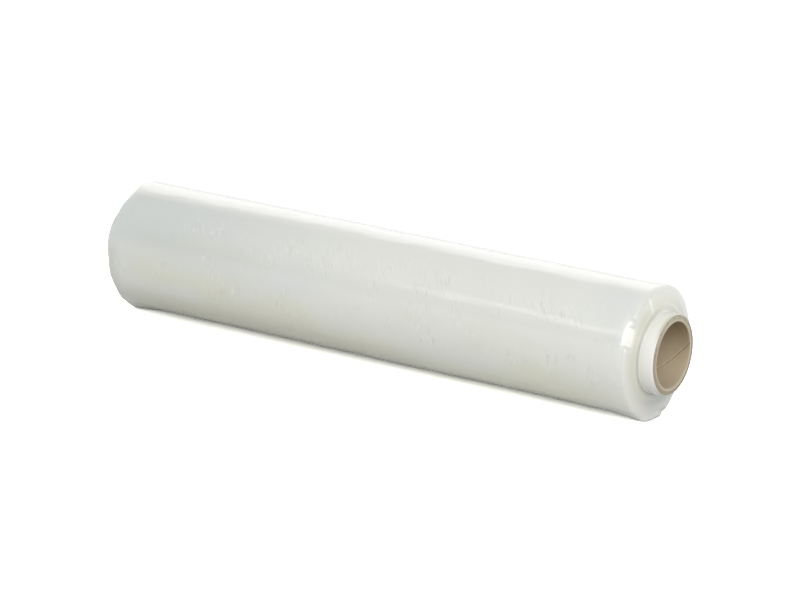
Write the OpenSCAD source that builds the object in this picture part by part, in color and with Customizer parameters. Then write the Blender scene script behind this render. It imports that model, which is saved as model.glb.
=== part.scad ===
// Hand roll of clear stretch film, wound on a spiral paperboard core.
// The roll lies on the ground with its axis along +X.
// The origin is on the ground, under the middle of the roll.
// The film is soft: where the roll rests, it has pressed itself slightly flat.

/* [Roll] */
// Length of the core, which is the whole length of the roll
roll_length = 500; // [300:10:600]
// Diameter over the wound film
roll_diameter = 101; // [84:1:130]
// Width of the flat where the roll rests on the ground
rest_flat = 15; // [8:1:20]

/* [Core] */
// Bore of the paperboard core
core_bore = 50.8; // [46:0.2:52]
// Wall of the paperboard core
core_wall = 4.6; // [3:0.2:5]
// Width of the board strip that the inner ply is wound from
ply_width = 105; // [80:5:115]
// Width of the gap between two turns of the inner ply
seam_width = 0.9; // [0.5:0.1:2]
// Depth of the gap, which is the thickness of one ply
seam_depth = 0.5; // [0.3:0.1:0.8]
// Angle round the bore at which the gap meets the near end
seam_start = 5; // [-90:1:90]
// Rounding that the saw leaves on the rim of the bore
rim_round = 0.5; // [0.2:0.1:1]

/* [Film] */
// Length of core at each end that carries only the first few turns
neck_length = 14.8; // [8:0.2:25]
// How far the wound film sits off the core's middle, towards the near end
film_shift = 1; // [-3:0.5:3]
// Thickness of the turns on the neck
neck_film = 0.8; // [0.5:0.1:2]
// How far the film stops short of the core's end
film_setback = 0.6; // [0.3:0.1:2]
// Hollow rounding where the neck meets the wound end
root_round = 1.2; // [1:0.2:4]
// Rounding of the shoulder, along the roll
shoulder_length = 3; // [2:0.2:8]
// Rounding of the shoulder, across the roll
shoulder_depth = 7; // [2:0.2:8]
// How far the outer turns stand out past the turns beside the neck
end_dish = 1.4; // [0:0.2:3]

/* [Turns] */
// Bundles of turns that show as rings on a wound end
end_rings = 9; // [4:1:12]
// How far a ring's edge stands out of the wound end
ring_height = 0.2; // [0.1:0.05:0.5]
// Bands along the roll where thicker film has built up
gauge_bands = 16; // [6:1:24]
// Swell of the thickest band over the thinnest, on the radius
gauge_swell = 0.3; // [0.1:0.05:0.6]

/* [Hidden] */

round_steps = 5;
smooth = 96;
half_length = roll_length / 2;
bore_radius = core_bore / 2;
core_radius = bore_radius + core_wall;
neck_radius = core_radius + neck_film;
roll_radius = roll_diameter / 2;

// The roll's axis stands lower than its radius by the height of the flat
axis_height = sqrt(roll_radius * roll_radius - rest_flat * rest_flat / 4);

// Where the neck meets the wound end, as a distance from the middle of the roll
near_root = half_length - neck_length + film_shift;
far_root = half_length - neck_length - film_shift;
end_inner = neck_radius + root_round;
end_outer = roll_radius - shoulder_depth;

// Half of the straight body, and its middle along the roll
body_half = half_length - neck_length + end_dish - shoulder_length;
body_step = body_half / gauge_bands;

// One strip covers the bore, so its width gives the angle and the pitch of its edge
ply_angle = asin(ply_width / (PI * core_bore));
seam_pitch = PI * core_bore * tan(ply_angle);
seam_step = 10;

function ease(t) = t * t * (3 - 2 * t);

// Radius of the body at a distance from its middle: even bands of unlike height,
// which fade out at both ends
function band_phase(x) = x / body_half * 90 * gauge_bands;
function swell(x) = 0.5 + 0.3 * sin(band_phase(x)) + 0.2 * sin(0.37 * band_phase(x) + 50);
function body_radius(x) = roll_radius - gauge_swell * (1 - swell(x)) * (1 - pow(abs(x) / body_half, 8));

// One wound end, from the film's own edge on the neck out to the shoulder.
// Each point is a radius and a distance from the middle of the roll.
function neck_points() = [
    [core_radius, half_length - film_setback],
    [neck_radius - neck_film / 2, half_length - film_setback],
    [neck_radius, half_length - film_setback - neck_film]
];
function root_points(root) = [
    for (i = [0 : round_steps])
        let (a = i * 90 / round_steps)
        [neck_radius + root_round * (1 - cos(a)), root + root_round * (1 - sin(a))]
];
function ring_points(root) = [
    for (i = [1 : end_rings])
        let (
            ring_width = (end_outer - end_inner) / end_rings,
            foot = end_inner + i * ring_width,
            rise = ring_height * (0.6 + 0.4 * sin(i * 137)),
            stand_out = root + end_dish * ease(min(1, 3 * i / end_rings))
        )
        each [[foot - 0.4 * ring_width, stand_out + rise], [foot, stand_out]]
];
function shoulder_points(root) = [
    for (i = [1 : round_steps])
        let (a = i * 90 / round_steps)
        [end_outer + shoulder_depth * sin(a), root + end_dish - shoulder_length * (1 - cos(a))]
];
function end_points(root) = concat(
    neck_points(), root_points(root), ring_points(root), shoulder_points(root)
);
function body_points() = [
    for (i = [1 : 2 * gauge_bands - 1])
        let (x = body_half - i * body_step)
        [body_radius(x), x + film_shift]
];

// An end seen the other way, in the order that closes the outline
function turned_round(end) = [for (i = [len(end) - 1 : -1 : 0]) [end[i][0], -end[i][1]]];

module along_roll() {
    translate([0, 0, axis_height])
        rotate([0, 90, 0])
            children();
}

// The gap between two turns of the inner ply, as a thin band that climbs round the bore.
// Angles run from +Y towards +Z, and the band leaves the near end at seam_start.
module ply_gap() {
    turns = ceil(roll_length / seam_pitch) + 1;
    steps = turns * 360 / seam_step;
    half_gap = seam_width / 2 / cos(ply_angle);
    inner = bore_radius - 1;
    outer = bore_radius + seam_depth;
    corners = [[inner, -half_gap], [outer, -half_gap], [outer, half_gap], [inner, half_gap]];
    points = [
        for (i = [0 : steps])
            let (turn = i * seam_step / 360 - turns + 0.5, a = seam_start + 90 + turn * 360)
            for (c = corners)
                [c[0] * cos(a), c[0] * sin(a), half_length + turn * seam_pitch + c[1]]
    ];
    sides = [
        for (i = [0 : steps - 1])
            for (j = [0 : 3])
                let (a = 4 * i + j, b = 4 * i + (j + 1) % 4)
                each [[a, a + 4, b], [b, a + 4, b + 4]]
    ];
    last = 4 * steps;
    caps = [[0, 1, 2, 3], [last + 3, last + 2, last + 1, last]];
    polyhedron(points = points, faces = concat(sides, caps), convexity = 12);
}

module core_section() {
    polygon([
        [bore_radius + rim_round, half_length],
        [core_radius, half_length],
        [core_radius, -half_length],
        [bore_radius + rim_round, -half_length],
        [bore_radius, -half_length + rim_round],
        [bore_radius, half_length - rim_round]
    ]);
}

module core_tube() {
    color("tan")
        along_roll()
            difference() {
                rotate_extrude($fn = smooth)
                    core_section();
                ply_gap();
            }
}

module stretch_film() {
    outline = concat(end_points(near_root), body_points(), turned_round(end_points(far_root)));
    color("honeydew")
        intersection() {
            along_roll()
                rotate_extrude($fn = smooth)
                    polygon(outline);
            translate([-roll_length, -roll_diameter, 0])
                cube([2 * roll_length, 2 * roll_diameter, 2 * roll_diameter]);
        }
}

core_tube();
stretch_film();
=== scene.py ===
# Stretch wrap roll: clear film wound on a spiral paperboard core, lying on a white table.
import math

import bpy
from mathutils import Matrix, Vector


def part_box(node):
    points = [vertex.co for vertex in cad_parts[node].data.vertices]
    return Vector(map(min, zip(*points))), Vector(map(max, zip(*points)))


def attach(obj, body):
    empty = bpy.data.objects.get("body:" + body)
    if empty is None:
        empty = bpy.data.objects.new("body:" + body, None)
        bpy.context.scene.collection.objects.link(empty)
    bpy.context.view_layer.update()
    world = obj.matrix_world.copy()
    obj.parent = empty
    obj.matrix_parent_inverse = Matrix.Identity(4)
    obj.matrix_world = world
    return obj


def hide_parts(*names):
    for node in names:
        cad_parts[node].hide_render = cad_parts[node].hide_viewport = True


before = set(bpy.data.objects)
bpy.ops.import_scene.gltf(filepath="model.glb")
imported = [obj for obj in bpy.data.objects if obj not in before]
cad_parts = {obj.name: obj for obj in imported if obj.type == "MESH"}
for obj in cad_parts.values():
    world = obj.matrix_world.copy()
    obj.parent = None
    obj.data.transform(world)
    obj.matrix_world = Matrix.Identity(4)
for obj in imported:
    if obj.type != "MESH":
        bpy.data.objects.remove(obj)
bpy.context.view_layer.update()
coreLow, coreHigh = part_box("core_tube")
filmLow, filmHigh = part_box("stretch_film")

mm = 0.001
halfLength = (coreHigh.x - coreLow.x) / 2
coreRadius = (coreHigh.y - coreLow.y) / 2
rollRadius = (filmHigh.y - filmLow.y) / 2
axisHeight = (coreLow.z + coreHigh.z) / 2
filmSetback = coreHigh.x - filmHigh.x
print("frame loaded, roll", round(2 * halfLength, 4), "m long")


# Small tools for node trees

class Wire:
    # An output socket that takes part in Python expressions
    def __init__(self, tree, socket):
        self.tree = tree
        self.socket = socket

    def __add__(self, other):
        return self.tree.maths("ADD", self, other)

    def __sub__(self, other):
        return self.tree.maths("SUBTRACT", self, other)

    def __rsub__(self, other):
        return self.tree.maths("SUBTRACT", other, self)

    def __mul__(self, other):
        return self.tree.maths("MULTIPLY", self, other)

    def __truediv__(self, other):
        return self.tree.maths("DIVIDE", self, other)

    def __rtruediv__(self, other):
        return self.tree.maths("DIVIDE", other, self)

    __radd__ = __add__
    __rmul__ = __mul__


class Tree:
    # A shader or geometry tree, with its first free place for a node
    def __init__(self, nodeTree):
        self.nodes = nodeTree.nodes
        self.links = nodeTree.links
        self.nodes.clear()
        self.count = 0

    def node(self, kind, settings=None, sockets=None):
        made = self.nodes.new(kind)
        made.location = (180 * (self.count % 12), -220 * (self.count // 12))
        self.count += 1
        for name, value in (settings or {}).items():
            setattr(made, name, value)
        for name, value in (sockets or {}).items():
            socket = made.inputs[name]
            if isinstance(value, Wire):
                self.links.new(value.socket, socket)
            else:
                socket.default_value = value
        return made

    def out(self, made, name=0):
        return Wire(self, made.outputs[name])

    def maths(self, operation, *values):
        made = self.node("ShaderNodeMath", {"operation": operation}, dict(enumerate(values)))
        return self.out(made)

    def vectors(self, operation, *values, result=0):
        # Distances and dot products come out of result 1
        made = self.node("ShaderNodeVectorMath", {"operation": operation}, dict(enumerate(values)))
        return self.out(made, result)

    def clamp01(self, value):
        return self.maths("MINIMUM", self.maths("MAXIMUM", value, 0.0), 1.0)

    def step(self, value, low, high):
        # 0 below low, 1 above high, smooth between
        made = self.node(
            "ShaderNodeMapRange", {"interpolation_type": "SMOOTHSTEP"},
            {"Value": value, "From Min": low, "From Max": high},
        )
        return self.out(made)

    def join(self, x, y, z):
        return self.out(self.node("ShaderNodeCombineXYZ", None, {"X": x, "Y": y, "Z": z}))

    def split(self, vector):
        parts = self.node("ShaderNodeSeparateXYZ", None, {0: vector})
        return [self.out(parts, i) for i in range(3)]

    def noise(self, vector, scale, detail=2.0, rough=0.5):
        made = self.node(
            "ShaderNodeTexNoise", {"noise_dimensions": "3D"},
            {"Vector": vector, "Scale": scale, "Detail": detail, "Roughness": rough},
        )
        return self.out(made)

    def blend(self, factor, first, second):
        made = self.node(
            "ShaderNodeMix", {"data_type": "RGBA", "clamp_factor": True},
            {"Factor": factor, 6: first, 7: second},
        )
        return self.out(made, 2)


def paint(red, green, blue):
    # An sRGB colour from 0 to 255, as the linear colour that a shader takes
    def linear(level):
        level = level / 255
        return level / 12.92 if level <= 0.04045 else ((level + 0.055) / 1.055) ** 2.4

    return (linear(red), linear(green), linear(blue), 1.0)


def newMaterial(name):
    material = bpy.data.materials.new(name)
    material.use_nodes = True
    return material, Tree(material.node_tree)


def objectPlace(tree):
    # Object coordinates, with the roll's axis at zero: x, y, height, and distance from the axis
    x, y, z = tree.split(tree.out(tree.node("ShaderNodeTexCoord"), "Object"))
    height = z - axisHeight
    radius = tree.maths("SQRT", y * y + height * height)
    return x, y, height, radius


def lookUpMesh(name, points):
    # A short-lived mesh that a geometry tree looks its rows or columns up in
    mesh = bpy.data.meshes.new(name)
    mesh.from_pydata(points, [], [])
    holder = bpy.data.objects.new(name, mesh)
    bpy.context.scene.collection.objects.link(holder)
    return holder


def smooth(t):
    return t * t * (3 - 2 * t)


def quarterTurn(steps):
    # The angle at each step of a quarter turn
    return [math.radians(90 * i / steps) for i in range(steps + 1)]


# Stretch film: an outline along the roll, turned round the axis by a geometry tree

film = {
    # The neck's length and film, the rounding of that film's edge, and how far off centre it is
    "neckLength": 14.8 * mm,
    "neckFilm": 0.8 * mm,
    "edgeLength": 0.96 * mm,
    "shift": 1.0 * mm,
    "rootRound": 2.0 * mm,
    "shoulderLength": 3.0 * mm,
    "shoulderDepth": 7.0 * mm,
    "endDish": 1.4 * mm,
    "rings": 10,
    "ringHeight": 0.12 * mm,
    # Across one ring: how far back from its foot, and share of its height
    "ringShape": ((0.6, 0.5), (0.3, 1.0), (0.0, 0.1)),
    # Spacing of the mesh along the body, and columns round it
    "bodyStep": 4.0 * mm,
    "columns": 384,
    # Bands where thicker film has built up, which fade out towards the ends
    "bandLength": 57.0 * mm,
    "bandHeight": 0.25 * mm,
    "bandFade": 30.0 * mm,
    # Slow waves over the body
    "waveHeight": 0.7 * mm,
    "waveLength": 70.0 * mm,
    "waveGirth": 30.0 * mm,
    # Knocks on the shoulders: end, angle round the roll, slant towards the end, depth, reach, and
    # how far in from the shoulder the middle lies. Then how uneven and how soft-edged they are.
    "knocks": (
        (1, 147, 41, 3.1 * mm, 14 * mm, 0.0),
        (1, 150, 47, 3.5 * mm, 11 * mm, 4 * mm),
        (-1, 112, 49, 1.1 * mm, 22 * mm, 0.0),
        (-1, -149, 46, 0.9 * mm, 20 * mm, 0.0),
    ),
    "knockGrain": 210.0,
    "knockUneven": 0.35 * mm,
    "knockSoft": 1.2 * mm,
    # How the ends settle where they rest: over what length, by how much, and how far below the
    # axis that starts and is full
    "settleLength": 36.0 * mm,
    "sag": 2.7 * mm,
    "sagFrom": 40.0 * mm,
    "spread": 3.6 * mm,
    "spreadFrom": 44.0 * mm,
    "settleFull": 49.0 * mm,
    # How far the turns beside the near neck have slid out, and at which angle they did most
    "slide": 2.3 * mm,
    "slideAngle": 95,
    "slideReach": 9.0 * mm,
    # Tuck of film under the near neck: along, angle round the roll, reach, height
    "tuck": (243.5 * mm, -119, 3.6 * mm, 1.3 * mm),
}
bodyEnd = halfLength - film["neckLength"]
neckRadius = coreRadius + film["neckFilm"]


def filmEnd(root):
    # Rows of one end, from the film's edge on the neck to the shoulder: along, radius, softness
    thin = film["neckFilm"]
    hollow = film["rootRound"]
    tip = halfLength - filmSetback
    rows = [(tip, coreRadius, 0.0), (tip, coreRadius + thin * 0.5, 0.0)]
    for a in quarterTurn(3):
        along = tip - film["edgeLength"] * math.sin(a)
        rows.append((along, neckRadius - thin * 0.5 * (1 - math.sin(a)), 0.0))
    neckStart = rows[-1][0]
    neckRun = neckStart - root - hollow
    rows += [(neckStart - neckRun * i / 8, neckRadius, 0.0) for i in range(1, 8)]
    for a in quarterTurn(8):
        along = root + hollow * (1 - math.sin(a))
        rows.append((along, neckRadius + hollow * (1 - math.cos(a)), 0.0))
    inner = neckRadius + hollow
    outer = rollRadius - film["shoulderDepth"]
    width = (outer - inner) / film["rings"]
    for i in range(1, film["rings"] + 1):
        standOut = root + film["endDish"] * smooth(min(1, 3 * i / film["rings"]))
        rise = film["ringHeight"] * (0.6 + 0.4 * math.sin(i * 2.4))
        for back, share in film["ringShape"]:
            rows.append((standOut + rise * share, inner + (i - back) * width, 0.0))
    edge = root + film["endDish"]
    for i, a in enumerate(quarterTurn(10)[1:], 1):
        rows.append((
            edge - film["shoulderLength"] * (1 - math.cos(a)),
            outer + film["shoulderDepth"] * math.sin(a), smooth(i / 10) * 0.5,
        ))
    return rows


def filmOutline():
    nearRows = filmEnd(bodyEnd + film["shift"])
    farRows = [(-x, radius, soft) for x, radius, soft in filmEnd(bodyEnd - film["shift"])]
    start, stop = nearRows[-1][0], farRows[-1][0]
    count = round((start - stop) / film["bodyStep"])
    body = []
    for i in range(1, count):
        x = start + (stop - start) * i / count
        fade = smooth(min(1, min(start - x, x - stop) / film["bandFade"]))
        phase = 2 * math.pi * x / film["bandLength"]
        swell = 0.5 + 0.3 * math.sin(phase) + 0.2 * math.sin(0.37 * phase + 0.9)
        body.append((x, rollRadius - film["bandHeight"] * (1 - swell) * fade, 0.5 + 0.5 * fade))
    rows = nearRows + body + farRows[::-1]
    return rows + rows[:1]


def groupEnds(tree, nodeTree, names):
    # The tree's way out and its named inputs, with the inputs' identifiers
    nodeTree.interface.new_socket("Geometry", in_out="OUTPUT", socket_type="NodeSocketGeometry")
    ids = {}
    for name, kind in names:
        socket = nodeTree.interface.new_socket(name, in_out="INPUT", socket_type=kind)
        ids[name] = socket.identifier
    return ids, tree.node("NodeGroupInput"), tree.node("NodeGroupOutput")


def grownMesh(name, nodeTree, ids, values):
    # Runs a geometry tree on an empty holder and keeps its result as a plain mesh object
    holder = bpy.data.objects.new(name + "Holder", bpy.data.meshes.new(name + "Holder"))
    bpy.context.scene.collection.objects.link(holder)
    modifier = holder.modifiers.new("build", "NODES")
    modifier.node_group = nodeTree
    for key, value in values.items():
        modifier[ids[key]] = value
    bpy.context.view_layer.update()
    evaluated = holder.evaluated_get(bpy.context.evaluated_depsgraph_get())
    mesh = bpy.data.meshes.new_from_object(evaluated)
    mesh.name = name
    holder.modifiers.clear()
    bpy.data.objects.remove(holder)
    piece = bpy.data.objects.new(name, mesh)
    bpy.context.scene.collection.objects.link(piece)
    return piece


def lathe(tree, given, rowCount, columnCount):
    # A grid whose rows and columns take their values from two look-up meshes
    grid = tree.node(
        "GeometryNodeMeshGrid", None, {"Vertices X": rowCount, "Vertices Y": columnCount},
    )
    u, v, _ = tree.split(tree.out(grid, "UV Map"))
    place = tree.out(tree.node("GeometryNodeInputPosition"))

    def lookUp(name, share, count):
        info = tree.node("GeometryNodeObjectInfo", None, {"Object": tree.out(given, name)})
        index = tree.maths("ROUND", share * (count - 1.0))
        made = tree.node(
            "GeometryNodeSampleIndex", {"data_type": "FLOAT_VECTOR", "domain": "POINT"},
            {"Geometry": tree.out(info, "Geometry"), "Value": place, "Index": index},
        )
        return tree.split(tree.out(made))

    return tree.out(grid, "Mesh"), lookUp("Rows", u, rowCount), lookUp("Columns", v, columnCount)


def around(tree, x, radius, angle):
    return tree.join(x, radius * tree.maths("COSINE", angle), radius * tree.maths("SINE", angle))


def closeMesh(tree, mesh, place, material):
    # Puts the grid's points in place, lets nothing go below the ground, and closes the seams
    raised = tree.vectors("ADD", place, (0.0, 0.0, axisHeight))
    grounded = tree.vectors("MAXIMUM", raised, (-10.0, -10.0, 0.0))  # only the height is held
    moved = tree.node("GeometryNodeSetPosition", None, {"Geometry": mesh, "Position": grounded})
    merged = tree.node(
        "GeometryNodeMergeByDistance", None, {"Geometry": tree.out(moved), "Distance": 0.001 * mm},
    )
    shaded = tree.node("GeometryNodeSetShadeSmooth", None, {"Geometry": tree.out(merged)})
    real = tree.node("GeometryNodeRealizeInstances", None, {"Geometry": tree.out(shaded)})
    return tree.out(tree.node(
        "GeometryNodeSetMaterial", None, {"Geometry": tree.out(real), "Material": material},
    ))


def slidOut(tree, x, radius, angle, slide):
    # The turns beside the near neck stand out a little, most of all along the top
    turned = tree.maths("COSINE", angle - math.radians(film["slideAngle"]))
    slid = (tree.step(turned, 0.2, 0.95) * 0.5 + 0.5) * slide
    slid = slid * (1 - tree.step(radius, coreRadius + 1 * mm, coreRadius + film["slideReach"]))
    slid = slid * tree.step(x, 0.0, 0.1)
    return x + slid * tree.clamp01((halfLength - filmSetback - x) / film["neckLength"])


def knocked(tree, place, rows):
    # Each knock has pressed the film back to a slanting plane, which isn't quite even
    for end, turn, slant, depth, reach, inwards in film["knocks"]:
        turn, slant = math.radians(turn), math.radians(slant)
        across, flat = end * math.sin(slant), math.cos(slant)
        facing = (across, flat * math.cos(turn), flat * math.sin(turn))
        top = max(rows, key=lambda row: row[0] * across + row[1] * flat)
        far = top[1] - inwards
        middle = (top[0], far * math.cos(turn), far * math.sin(turn))
        away = tree.vectors("DISTANCE", place, middle, result=1)
        limit = top[0] * across + top[1] * flat - depth
        uneven = (tree.noise(place, film["knockGrain"], 2.0, 0.5) - 0.5) * film["knockUneven"]
        over = tree.vectors("DOT_PRODUCT", place, facing, result=1) - limit + uneven
        near = 1 - tree.step(away, 0.6 * reach, reach)
        pressed = tree.maths("SMOOTH_MAX", over, 0.0, film["knockSoft"]) * near * -0.95
        place = tree.vectors("MULTIPLY_ADD", tree.join(pressed, pressed, pressed), facing, place)
    return place


def settled(tree, place, x, radius, angle, sag, spread):
    # The ends are softer than the body, so under the roll they settle on the table
    start = bodyEnd - film["settleLength"]
    below = 0 - radius * tree.maths("SINE", angle)
    down = tree.step(tree.maths("ABSOLUTE", x), start, bodyEnd) * sag
    down = down * tree.step(radius, coreRadius + 3 * mm, rollRadius - 7 * mm)
    down = down * tree.step(below, film["sagFrom"], film["settleFull"])
    # The near end also spreads a little along the table
    out = tree.step(x, start, bodyEnd) * tree.step(below, film["spreadFrom"], film["settleFull"])
    out = out * (1 - tree.step(radius * tree.maths("COSINE", angle), -1 * mm, 9 * mm)) * spread
    return tree.vectors("SUBTRACT", place, tree.join(0 - out, 0.0, down))


def filmPiece(material):
    rows = filmOutline()
    turns = film["columns"]
    columns = [(2 * math.pi * i / turns, 0, 0) for i in range(turns + 1)]
    rowTable = lookUpMesh("filmRows", rows)
    columnTable = lookUpMesh("filmColumns", columns)
    group = bpy.data.node_groups.new("windFilm", "GeometryNodeTree")
    tree = Tree(group)
    lengths = (
        "Wave Height", "Wave Length", "Wave Girth", "Tuck Reach", "Tuck Height",
        "Sag", "Spread", "Slide",
    )
    ids, given, result = groupEnds(tree, group, (
        ("Rows", "NodeSocketObject"), ("Columns", "NodeSocketObject"),
        *((name, "NodeSocketFloat") for name in lengths),
        ("Tuck Place", "NodeSocketVector"), ("Material", "NodeSocketMaterial"),
    ))
    size = {name: tree.out(given, name) for name in lengths}
    mesh, (x, radius, soft), (angle, _, _) = lathe(tree, given, len(rows), len(columns))
    x = slidOut(tree, x, radius, angle, size["Slide"])
    wavy = around(tree, x / size["Wave Length"], radius / size["Wave Girth"], angle)
    sunk = (0.5 - tree.noise(wavy, 1.0, 3.0, 0.5)) * size["Wave Height"] * soft * 2
    place = around(tree, x, radius - sunk, angle)
    away = tree.vectors("DISTANCE", place, tree.out(given, "Tuck Place"), result=1)
    tucked = (1 - tree.step(away, 0.0, size["Tuck Reach"])) * size["Tuck Height"]
    place = knocked(tree, around(tree, x, radius - sunk + tucked, angle), rows)
    place = settled(tree, place, x, radius, angle, size["Sag"], size["Spread"])
    closed = closeMesh(tree, mesh, place, tree.out(given, "Material"))
    tree.links.new(closed.socket, result.inputs[0])
    along, turn, reach, height = film["tuck"]
    turn = math.radians(turn)
    piece = grownMesh("woundFilm", group, ids, {
        "Rows": rowTable, "Columns": columnTable, "Wave Height": film["waveHeight"],
        "Wave Length": film["waveLength"], "Wave Girth": film["waveGirth"],
        "Tuck Place": (along, neckRadius * math.cos(turn), neckRadius * math.sin(turn)),
        "Tuck Reach": reach, "Tuck Height": height, "Sag": film["sag"], "Spread": film["spread"],
        "Slide": film["slide"], "Material": material,
    })
    for table in (rowTable, columnTable):
        bpy.data.objects.remove(table)
    return piece


# Core: the same kind of grid, twisted so that its columns follow the ply seam

core = {
    # The bore, and the board strip whose width gives the seam its angle and pitch
    "bore": 50.8 * mm,
    "plyWidth": 105.0 * mm,
    "seamStart": 5.0,
    "seamDepth": 0.4 * mm,
    # Across the seam, in degrees from its middle, with the share of its depth: one lip stands up
    "seamShape": ((-2.2, 0.0), (-1.1, -0.35), (-1.0, 1.0), (1.0, 1.0), (1.15, 0.0)),
    "rimRound": 0.5 * mm,
    "outerRound": 0.1 * mm,
    # Plies on the cut face, and the groove between two of them
    "plies": 8,
    "plyGroove": 0.12 * mm,
    # Spacing of the mesh along the core, and columns round it
    "alongStep": 4.0 * mm,
    "columns": 108,
}
boreRadius = core["bore"] / 2
plyAngle = math.asin(core["plyWidth"] / (math.pi * core["bore"]))
seamPitch = math.pi * core["bore"] * math.tan(plyAngle)


def coreOutline():
    # Along, radius, and 1 on the bore where the seam is cut
    rim = core["rimRound"]
    face = []
    for i, a in enumerate(quarterTurn(4)):
        along = halfLength - rim * (1 - math.sin(a))
        face.append((along, boreRadius + rim * (1 - math.cos(a)), 1 - i / 4))
    plyWall = (coreRadius - boreRadius - rim) / core["plies"]
    for i in range(core["plies"]):
        radius = boreRadius + rim + i * plyWall
        if i:
            face.append((halfLength - core["plyGroove"], radius, 0.0))
        face.append((halfLength, radius + 0.3 * plyWall, 0.0))
        face.append((halfLength, radius + 0.75 * plyWall, 0.0))
    face.append((halfLength - core["outerRound"], coreRadius, 0.0))
    steps = round(2 * face[-1][0] / core["alongStep"])
    outside = [(face[-1][0] * (1 - 2 * i / steps), coreRadius, 0.0) for i in range(1, steps)]
    inside = [(-face[0][0] * (1 - 2 * i / steps), boreRadius, 1.0) for i in range(1, steps)]
    rows = face + outside + [(-x, radius, cut) for x, radius, cut in face[::-1]] + inside
    return rows + rows[:1]


def coreColumns():
    # Angle and share of the seam's depth: the seam's own columns, then even ones round the wall
    first, last = core["seamShape"][0][0], core["seamShape"][-1][0]
    step = (360 - last + first) / core["columns"]
    wall = [(last + step * i, 0.0) for i in range(1, core["columns"])]
    columns = [*core["seamShape"], *wall, (first + 360, 0.0)]
    return [(math.radians(angle + core["seamStart"]), share, 0) for angle, share in columns]


def corePiece(material):
    rows, columns = coreOutline(), coreColumns()
    rowTable = lookUpMesh("coreRows", rows)
    columnTable = lookUpMesh("coreColumns", columns)
    group = bpy.data.node_groups.new("windCore", "GeometryNodeTree")
    tree = Tree(group)
    ids, given, result = groupEnds(tree, group, (
        ("Rows", "NodeSocketObject"), ("Columns", "NodeSocketObject"),
        ("Seam Pitch", "NodeSocketFloat"), ("Seam Depth", "NodeSocketFloat"),
        ("Material", "NodeSocketMaterial"),
    ))
    mesh, (x, radius, onBore), (angle, cut, _) = lathe(tree, given, len(rows), len(columns))
    turned = angle + (x - halfLength) * (2 * math.pi) / tree.out(given, "Seam Pitch")
    deeper = radius + cut * onBore * tree.out(given, "Seam Depth")
    closed = closeMesh(tree, mesh, around(tree, x, deeper, turned), tree.out(given, "Material"))
    tree.links.new(closed.socket, result.inputs[0])
    piece = grownMesh("paperCore", group, ids, {
        "Rows": rowTable, "Columns": columnTable, "Seam Pitch": seamPitch,
        "Seam Depth": core["seamDepth"], "Material": material,
    })
    for table in (rowTable, columnTable):
        bpy.data.objects.remove(table)
    return piece


# Finishes

filmLook = {
    "milk": paint(224, 225, 219),
    "olive": paint(219, 220, 200),
    "cool": paint(217, 221, 218),
    "farPaintedReflection": paint(204, 209, 206),
    "farPaintedShade": paint(218, 220, 216),
    "under": paint(190, 190, 172),
    "markAndHighlight": paint(238, 239, 234),
    "markAndShade": paint(206, 208, 200),
    "faceLit": paint(217, 217, 201),
    "faceShadow": paint(188, 190, 184),
    "edge": paint(211, 212, 204),
    "farRimShade": paint(190, 192, 185),
    "foldHighlight": paint(248, 249, 240),
    "creaseShade": paint(203, 203, 192),
    "creaseLitTop": paint(234, 233, 219),
    "creaseShadowLow": paint(190, 184, 150),
    "neck": paint(237, 237, 233),
    "neckTopShade": paint(236, 235, 228),
    "neckRootShade": paint(228, 228, 221),
    "neckRim": paint(196, 192, 172),
    "rough": 0.2,
    "roughSpread": 0.2,
    "relief": 0.08 * mm,
    # The fold on the near face: its angle round the roll, and half its width
    "foldAngle": 108,
    "foldWidth": 2.6 * mm,
}
# How strongly each tone covers the ones before it
filmShare = {
    "far": 0.85, "cool": 0.8, "olive": 0.9, "under": 0.5, "markAndHighlight": 0.35, "markAndShade": 0.55,
    "face": 0.95, "farRimShade": 0.45, "foldHighlight": 0.55, "creaseShade": 0.7, "neckRim": 0.75,
}
# Patterns: scale, detail, roughness
filmGrain = {
    "patches": (26.0, 2.0, 0.5), "cool": (19.0, 1.0, 0.5), "clusters": (42.0, 2.0, 0.6),
    "sway": (60.0, 1.0, 0.5), "marks": (1.0, 1.0, 0.5), "hairs": (1.0, 2.0, 0.6),
    "rings": (1.0, 2.0, 0.6),
}
# Marks and hairs to the metre: along the roll, and round it
filmFineness = {"marks": (760, 150), "hairs": (1500, 90), "rings": 1900}


def filmPatterns(tree, x, y, height, radius, body):
    # Marks in clusters on the sides of the roll, away from its top and bottom, fine hairs all
    # over, and rings on the ends
    def drawnOut(name, shift):
        dense, slow = filmFineness[name]
        return tree.noise(tree.join(x * dense + shift, y * slow, height * slow), *filmGrain[name])

    clusters = tree.noise(tree.join(x + 7, y, height), *filmGrain["clusters"])
    sway = tree.noise(tree.join(x, y, height), *filmGrain["sway"]) * 6
    # The marks run a little askew of the hoops
    lean = tree.maths("ABSOLUTE", y) * -460
    marks = drawnOut("marks", sway + lean)
    hairs = drawnOut("hairs", 0.0)
    rings = tree.noise(tree.join(radius * filmFineness["rings"], x * 4, 0.0), *filmGrain["rings"])
    seenPart = tree.step(height, -38 * mm, -4 * mm) * (1 - tree.step(height, 38 * mm, 47 * mm))
    grouped = tree.step(clusters, 0.46, 0.64) * body * seenPart
    return marks, hairs, rings, grouped


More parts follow.
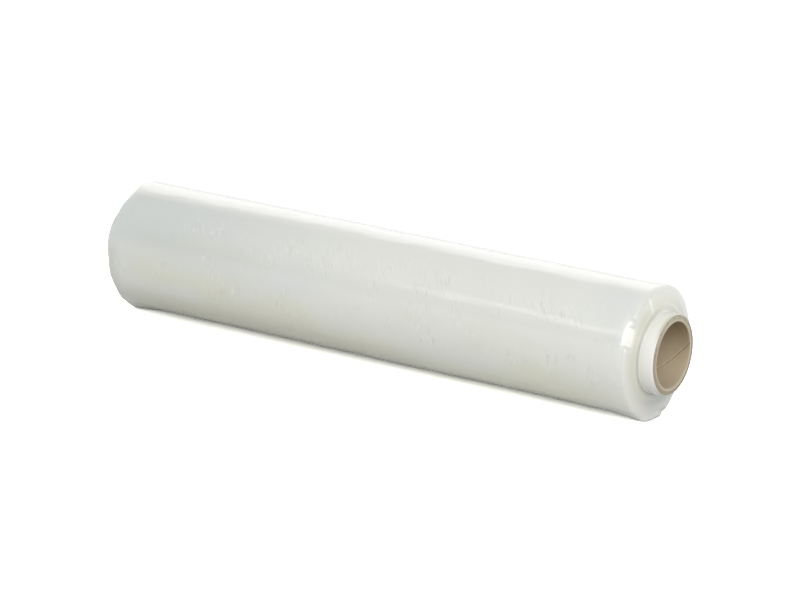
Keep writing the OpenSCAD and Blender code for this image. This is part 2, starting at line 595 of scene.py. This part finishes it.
def turnsTone(tree, x, y, height, marks, grouped):
    # The turns' tone. Clear film looks more olive where less light comes back through the turns;
    # here that olive is painted low down and towards the far end, partly the film's own colour and
    # partly painted shade
    patches = tree.noise(tree.join(x * 0.4, y, height), *filmGrain["patches"])
    cool = tree.noise(tree.join(x * 0.5 + 3, y, height), *filmGrain["cool"])
    # Painted reflection and shade on the far half: greyer and darker up its side, short of the
    # top, and a little darker lower down
    rise = tree.step(height, -15 * mm, 30 * mm)
    farPaintedTone = tree.blend(rise, filmLook["farPaintedShade"], filmLook["farPaintedReflection"])
    farPaintedShare = tree.step(0 - x, -0.02, 0.2) * (1 - tree.step(height, 46 * mm, 49 * mm))
    tone = tree.blend(farPaintedShare * filmShare["far"], filmLook["milk"], farPaintedTone)
    tone = tree.blend(tree.step(cool, 0.5, 0.72) * filmShare["cool"], tone, filmLook["cool"])
    farHalf = tree.maths("MINIMUM", x, 0.0)
    low = tree.step((patches - 0.5) * 0.9 - height * 8 - farHalf * 0.9, -0.1, 0.34)
    low = low * (1 - tree.step(x, 0.18, 0.235) * 0.7) * (1 - tree.step(0 - x, 0.175, 0.23) * 0.85)
    tone = tree.blend(low * filmShare["olive"], tone, filmLook["olive"])
    # Painted shade on the underside of the roll, over the far half and the middle
    under = tree.step(0 - height, 15 * mm, 32 * mm) * (1 - tree.step(x, -0.1, 0.15))
    tone = tree.blend(under * filmShare["under"], tone, filmLook["under"])
    # Light and dark marks in the film, with a bump, whose colour is partly painted streak
    # highlights and shade
    light = tree.step(marks, 0.57, 0.7) * grouped
    tone = tree.blend(light * filmShare["markAndHighlight"], tone, filmLook["markAndHighlight"])
    dark = tree.step(1 - marks, 0.57, 0.68) * grouped
    return tree.blend(dark * filmShare["markAndShade"], tone, filmLook["markAndShade"])


def endsTone(tree, tone, x, y, height, radius, body):
    # Over the turns' own tone, with painted light and shade: the wound faces, their edges, the
    # fold and the crease at the neck
    # Painted light and shade on the wound faces: lighter at the top and the near side, darker low
    # down towards the back, where the neck's shadow falls
    slope = tree.step(height - y, -38 * mm, 30 * mm)
    face = tree.blend(slope, filmLook["faceShadow"], filmLook["faceLit"])
    onFace = 1 - tree.step(radius, rollRadius - 13 * mm, rollRadius - 1 * mm)
    tone = tree.blend(onFace * filmShare["face"], tone, face)
    # Painted shade on the near shoulder: a greyer ring, stronger on its upper half
    end = bodyEnd + film["endDish"]
    edge = tree.step(tree.maths("ABSOLUTE", x - film["shift"]), end - 6 * mm, end - 2 * mm)
    edge = edge * tree.step(radius, rollRadius - 11 * mm, rollRadius - 4 * mm)
    edge = edge * (0.2 + tree.step(height, -40 * mm, 0.0) * 0.4) * tree.step(x, -0.1, 0.1)
    tone = tree.blend(edge, tone, filmLook["edge"])
    # Painted shade on the far rim, low down
    farRimShade = tree.step(0 - x, end - 16 * mm, end - 4 * mm)
    farRimShade = farRimShade * (1 - tree.step(height, 5 * mm, 25 * mm))
    tone = tree.blend(farRimShade * filmShare["farRimShade"], tone, filmLook["farRimShade"])
    # A whiter line crosses the near face where a fold of film lies: partly whiter folded film,
    # partly a painted highlight on the fold
    turn = math.radians(filmLook["foldAngle"])
    foldHighlight = tree.maths("ABSOLUTE", y * math.sin(turn) - height * math.cos(turn))
    foldHighlight = (1 - tree.step(foldHighlight, 0.0, filmLook["foldWidth"])) * tree.step(height, 30 * mm, 38 * mm)
    foldHighlight = foldHighlight * (1 - body) * tree.step(x, 0.2, 0.22)
    tone = tree.blend(foldHighlight * filmShare["foldHighlight"], tone, filmLook["foldHighlight"])
    # Painted shade in the crease where the film meets the neck: light at the top, darker and olive
    # low down
    upward = height / radius
    creaseShading = tree.blend(tree.step(upward, -0.2, 0.8), filmLook["creaseShade"], filmLook["creaseLitTop"])
    creaseShading = tree.blend(tree.step(0 - upward, 0.35, 0.85), creaseShading, filmLook["creaseShadowLow"])
    creaseShade = 1 - tree.step(radius, coreRadius + 1.6 * mm, coreRadius + 3.2 * mm)
    return tree.blend(creaseShade * filmShare["creaseShade"], tone, creaseShading)


def neckTone(tree, x, height, radius):
    # White, with painted shade: a little greyer at the top and darker at the root. Yellower where
    # the film's own edge shows
    upward = height / radius
    fromMiddle = tree.maths("ABSOLUTE", x)
    white = tree.blend(tree.step(upward, 0.35, 0.95), filmLook["neck"], filmLook["neckTopShade"])
    rootShade = 1 - tree.step(fromMiddle, bodyEnd + 1.0 * mm, bodyEnd + 6.5 * mm)
    white = tree.blend(rootShade, white, filmLook["neckRootShade"])
    rim = tree.step(fromMiddle, halfLength - 3.4 * mm, halfLength - 1.4 * mm)
    rim = rim * tree.step(tree.maths("ABSOLUTE", upward), 0.4, 0.9)
    return tree.blend(rim * filmShare["neckRim"], white, filmLook["neckRim"])


def filmMaterial():
    material, tree = newMaterial("woundFilm")
    x, y, height, radius = objectPlace(tree)
    body = tree.step(radius, rollRadius - 4 * mm, rollRadius - 1.5 * mm)
    neck = 1 - tree.step(radius, coreRadius + 0.9 * mm, coreRadius + 1.8 * mm)
    marks, hairs, rings, grouped = filmPatterns(tree, x, y, height, radius, body)
    tone = turnsTone(tree, x, y, height, marks, grouped)
    tone = endsTone(tree, tone, x, y, height, radius, body)
    bump = tree.node("ShaderNodeBump", None, {
        "Strength": 0.4,
        "Distance": filmLook["relief"],
        "Height": marks * grouped * 0.6 + rings * (1 - body) * 0.15,
    })
    shader = tree.node("ShaderNodeBsdfPrincipled", None, {
        "Base Color": tone,
        "Roughness": filmLook["rough"] + (hairs - 0.5) * filmLook["roughSpread"],
        "IOR": 1.5,
        "Specular IOR Level": 0.5,
        "Subsurface Weight": 0.6,
        "Subsurface Radius": (1.0, 0.98, 0.84),
        "Subsurface Scale": 0.016,
        "Coat Weight": 1.0,
        "Coat Roughness": 0.15,
        "Coat IOR": 1.8,
        "Normal": tree.out(bump),
    })
    # The few turns on the neck are too thin to glow, so they are plain white over the board
    thin = tree.node("ShaderNodeBsdfPrincipled", None, {
        "Base Color": neckTone(tree, x, height, radius),
        "Roughness": 0.3,
        "Coat Weight": 0.6,
        "Coat Roughness": 0.1,
        "Normal": tree.out(bump),
    })
    whole = tree.node("ShaderNodeMixShader", None, {
        0: neck, 1: tree.out(shader), 2: tree.out(thin),
    })
    tree.node("ShaderNodeOutputMaterial", None, {"Surface": tree.out(whole)})
    return material


boardLook = {
    "wall": paint(213, 197, 170),
    "wallDarkAndShade": paint(156, 138, 106),
    "cut": paint(170, 160, 142),
    "cutDark": paint(150, 143, 122),
    "cutTop": paint(188, 183, 164),
    "cutInner": paint(208, 197, 174),
    "seam": paint(140, 121, 94),
    # Patterns: scale, detail, roughness
    "fibre": (900.0, 4.0, 0.65),
    "cloud": (90.0, 2.0, 0.5),
    "mottle": (330.0, 2.0, 0.6),
    "relief": 0.15 * mm,
}


def boardMaterial():
    material, tree = newMaterial("coreBoard")
    x, y, height, radius = objectPlace(tree)
    place = tree.join(x, y, height)
    fromMiddle = tree.maths("ABSOLUTE", x)
    fibre = tree.noise(place, *boardLook["fibre"])
    cloud = tree.noise(place, *boardLook["cloud"])
    mottle = tree.noise(place, *boardLook["mottle"])
    # Painted shade: the wall is darker towards its upper side and near its ends. It is also darker
    # along the middle of the strip
    turned = tree.maths("ARCTAN2", height, y) - math.radians(core["seamStart"])
    across = tree.maths("FRACT", turned / (2 * math.pi) - (x - halfLength) / seamPitch)
    middle = tree.step(across, 0.0, 0.4) * (1 - tree.step(across, 0.6, 0.95))
    rimShade = tree.step(fromMiddle, halfLength - 20 * mm, halfLength - 2 * mm)
    darker = tree.step(height, -18 * mm, 23 * mm) * 0.85 + middle * 0.08 + rimShade * 0.2
    uneven = (fibre - 0.5) * 0.3 + (cloud - 0.5) * 0.25
    wall = tree.blend(darker + uneven + 0.03, boardLook["wall"], boardLook["wallDarkAndShade"])
    # The saw leaves the outer plies of the cut face greyer and mottled, and they are lighter
    # towards the top
    outer = tree.blend(tree.step(height, 6 * mm, 27 * mm), boardLook["cut"], boardLook["cutTop"])
    outer = tree.blend(tree.step(mottle, 0.45, 0.7) * 0.6, outer, boardLook["cutDark"])
    outward = tree.step(radius, boreRadius + 1.2 * mm, boreRadius + 2.4 * mm)
    cut = tree.blend(fibre * 0.5 + outward * 0.75, boardLook["cutInner"], outer)
    onFace = tree.step(fromMiddle, halfLength - 0.7 * mm, halfLength - 0.35 * mm)
    inSeam = tree.step(radius, boreRadius + 0.15 * mm, boreRadius + 0.4 * mm) * (1 - onFace)
    bump = tree.node("ShaderNodeBump", None, {
        "Strength": 0.5, "Distance": boardLook["relief"], "Height": fibre,
    })
    shader = tree.node("ShaderNodeBsdfPrincipled", None, {
        "Base Color": tree.blend(inSeam, tree.blend(onFace, wall, cut), boardLook["seam"]),
        "Roughness": 0.8 + fibre * 0.15,
        "Normal": tree.out(bump),
    })
    tree.node("ShaderNodeOutputMaterial", None, {"Surface": tree.out(shader)})
    return material


filmFinish = filmMaterial()
boardFinish = boardMaterial()
print("finishes made")

woundFilm = filmPiece(filmFinish)
paperCore = corePiece(boardFinish)
for piece, node, slot in (
    (woundFilm, "stretch_film", "clear_film"), (paperCore, "core_tube", "core_board"),
):
    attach(piece, "root")
    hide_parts(node)
    print(piece.name, len(piece.data.polygons), "faces")


# Table, light and camera

studio = {
    # How pale the table is: to light, to gloss in front of the roll and behind it, to the camera
    "table": 0.63,
    "tableMirrored": 0.9,
    "tableBehind": 1.3,
    "tableSeen": 2.55,
    "tableSize": 14.0,
    "tableDrop": 0.15 * mm,
    # The room's light on the object, and what its front, right and top add
    "fill": 0.62,
    "frontFill": 0.68,
    "rightFill": -0.3,
    "topFill": -0.1,
    # What gloss sees: the room low and high, the table's edge, the backdrop and its upper part
    "mirrorLow": 0.54,
    "mirrorHigh": 0.86,
    "mirrorTable": 0.26,
    "mirrorBack": 1.08,
    "mirrorGlow": 0.1,
    # Softboxes: name, place, target, width, height, power
    "softboxes": (
        ("backGlow", (0, 2.6, 1.6), (0, 0, 0.1), 5.4, 2.0, 14),
        ("strip", (-0.45, -1.05, 0.94), (0.2, 0, 0.07), 0.5, 0.2, 0.24),
        ("key", (1.28, -0.62, 0.77), (0.24, 0, 0.06), 1.0, 0.8, 6.0),
    ),
}
# The photo's view: bearing and rise in degrees, lens, and its place from the middle of the axis
view = {
    "bearing": 32.935,
    "rise": 19.34,
    "lens": 171.9,
    "sensor": 36.0,
    "place": (1.5200, -2.3320, 0.9725),
}


def glossOrGlass(tree, path):
    # 1 for a ray that came off gloss or through glass
    glossy, through = tree.out(path, "Is Glossy Ray"), tree.out(path, "Is Transmission Ray")
    return tree.maths("MAXIMUM", glossy, through)


def tablePlane():
    half, drop = studio["tableSize"] / 2, studio["tableDrop"]
    mesh = bpy.data.meshes.new("table")
    corners = ((-half, -half), (half, -half), (half, half), (-half, half))
    mesh.from_pydata([(x, y, -drop) for x, y in corners], [], [(0, 1, 2, 3)])
    table = bpy.data.objects.new("table", mesh)
    bpy.context.scene.collection.objects.link(table)
    material, tree = newMaterial("tableWhite")
    path = tree.node("ShaderNodeLightPath")
    mirrored = glossOrGlass(tree, path)
    _, away, _ = tree.split(tree.out(tree.node("ShaderNodeTexCoord"), "Object"))
    behind = tree.step(away, 0.03, 0.25)
    ahead, beyond = studio["tableMirrored"], studio["tableBehind"]
    reflected = ahead + behind * (beyond - ahead)
    tone = studio["table"] + mirrored * (reflected - studio["table"])
    tone = tone + tree.out(path, "Is Camera Ray") * (studio["tableSeen"] - studio["table"])
    matt = tree.node("ShaderNodeBsdfDiffuse", None, {"Color": tree.join(tone, tone, tone)})
    tree.node("ShaderNodeOutputMaterial", None, {"Surface": tree.out(matt)})
    mesh.materials.append(material)


def studioWorld():
    # White to the camera. Gloss sees a white backdrop behind the roll and a greyer room in front.
    world = bpy.data.worlds.new("studio")
    bpy.context.scene.world = world
    world.use_nodes = True
    tree = Tree(world.node_tree)
    path = tree.node("ShaderNodeLightPath")
    mirrored = glossOrGlass(tree, path)
    side, away, up = tree.split(tree.out(tree.node("ShaderNodeTexCoord"), "Generated"))
    # The backdrop ends at a soft upper edge, which is lower on the right
    backdrop = tree.step(away, -0.15, 0.2) * (1 - tree.step(up + side * 0.4, 0.355, 0.565))
    bright = studio["mirrorBack"] + tree.step(up, 0.15, 0.35) * studio["mirrorGlow"]
    front = tree.step(side * 0.35 - away * 0.94, 0.0, 0.9)
    right = tree.step(side, 0.2, 0.9) * (1 - tree.step(up, 0.05, 0.5))
    room = studio["fill"] + front * studio["frontFill"] + right * studio["rightFill"]
    room = room + tree.step(up, 0.4, 1.0) * studio["topFill"]
    low, high = studio["mirrorLow"], studio["mirrorHigh"]
    lit = low + tree.step(up, 0.3, 0.8) * (high - low)
    lit = lit + (1 - tree.step(up, 0.22, 0.28)) * studio["mirrorTable"]
    mirror = lit + backdrop * (bright - lit)
    unseen = room + mirrored * (mirror - room)
    strength = unseen + tree.out(path, "Is Camera Ray") * (1 - unseen)
    light = tree.node(
        "ShaderNodeBackground", None, {"Color": (1.0, 1.0, 1.0, 1.0), "Strength": strength},
    )
    tree.node("ShaderNodeOutputWorld", None, {"Surface": tree.out(light)})


def softbox(name, place, target, width, height, power):
    lamp = bpy.data.lights.new(name, "AREA")
    lamp.shape = "RECTANGLE"
    lamp.size = width
    lamp.size_y = height
    lamp.energy = power
    box = bpy.data.objects.new(name, lamp)
    box.location = place
    box.rotation_euler = (Vector(target) - Vector(place)).to_track_quat("-Z", "Y").to_euler()
    bpy.context.scene.collection.objects.link(box)


def photoCamera():
    bearing, rise = math.radians(view["bearing"]), math.radians(view["rise"])
    back = Vector((
        math.sin(bearing) * math.cos(rise), -math.cos(bearing) * math.cos(rise), math.sin(rise),
    ))
    data = bpy.data.cameras.new("photoCamera")
    data.sensor_width = view["sensor"]
    data.lens = view["lens"]
    camera = bpy.data.objects.new("photoCamera", data)
    camera.location = Vector(view["place"]) + Vector((0, 0, axisHeight))
    camera.rotation_euler = (-back).to_track_quat("-Z", "Y").to_euler()
    bpy.context.scene.collection.objects.link(camera)
    bpy.context.scene.camera = camera


tablePlane()
studioWorld()
for box in studio["softboxes"]:
    softbox(*box)
photoCamera()
bpy.context.scene.view_settings.view_transform = "Standard"
print("studio set")
